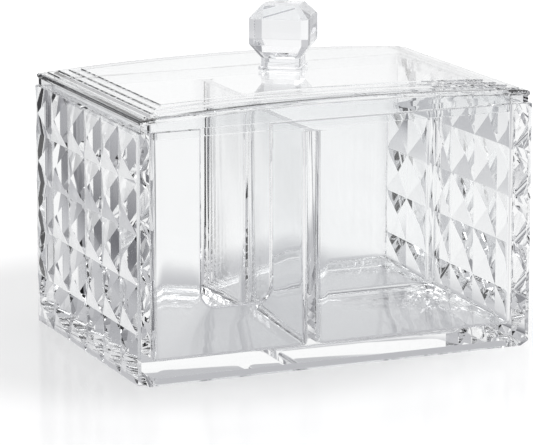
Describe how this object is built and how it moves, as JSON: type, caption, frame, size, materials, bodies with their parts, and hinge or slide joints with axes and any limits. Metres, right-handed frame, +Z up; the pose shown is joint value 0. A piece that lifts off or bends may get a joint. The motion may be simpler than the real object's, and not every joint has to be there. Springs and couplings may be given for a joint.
{
  "type": "cotton swab holder",
  "caption": "Clear box with pyramid-textured sides, a front finger slot, inner dividers and an arched lift-off lid with a faceted knob.",
  "frame": {"origin": "middle of the footprint, on the surface the box stands on", "axes": "+X along the width towards the side away from the finger slot, +Y from front to back, +Z up"},
  "size_m": [0.1544, 0.105, 0.122],
  "materials": {
    "box_plastic": "clear and polished, pyramids moulded on the outside of the side panels",
    "lid_plastic": "clear and polished, stepped mouldings",
    "knob_plastic": "clear, cut facets"
  },
  "bodies": {
    "box": {"front_panel": "box_plastic", "back_panel": "box_plastic", "left_side_panel": "box_plastic", "right_side_panel": "box_plastic", "floor_plate": "box_plastic", "centre_divider": "box_plastic", "cross_divider": "box_plastic"},
    "lid": {"lid_frame": "lid_plastic", "lid_window": "lid_plastic", "locating_lip": "lid_plastic", "knob_collar": "knob_plastic", "knob": "knob_plastic"}
  },
  "joints": [
    {"name": "lid_lift", "type": "slide", "parent": "box", "child": "lid", "axis": [0, 0, 1], "range_m": [0, 0.08]}
  ]
}
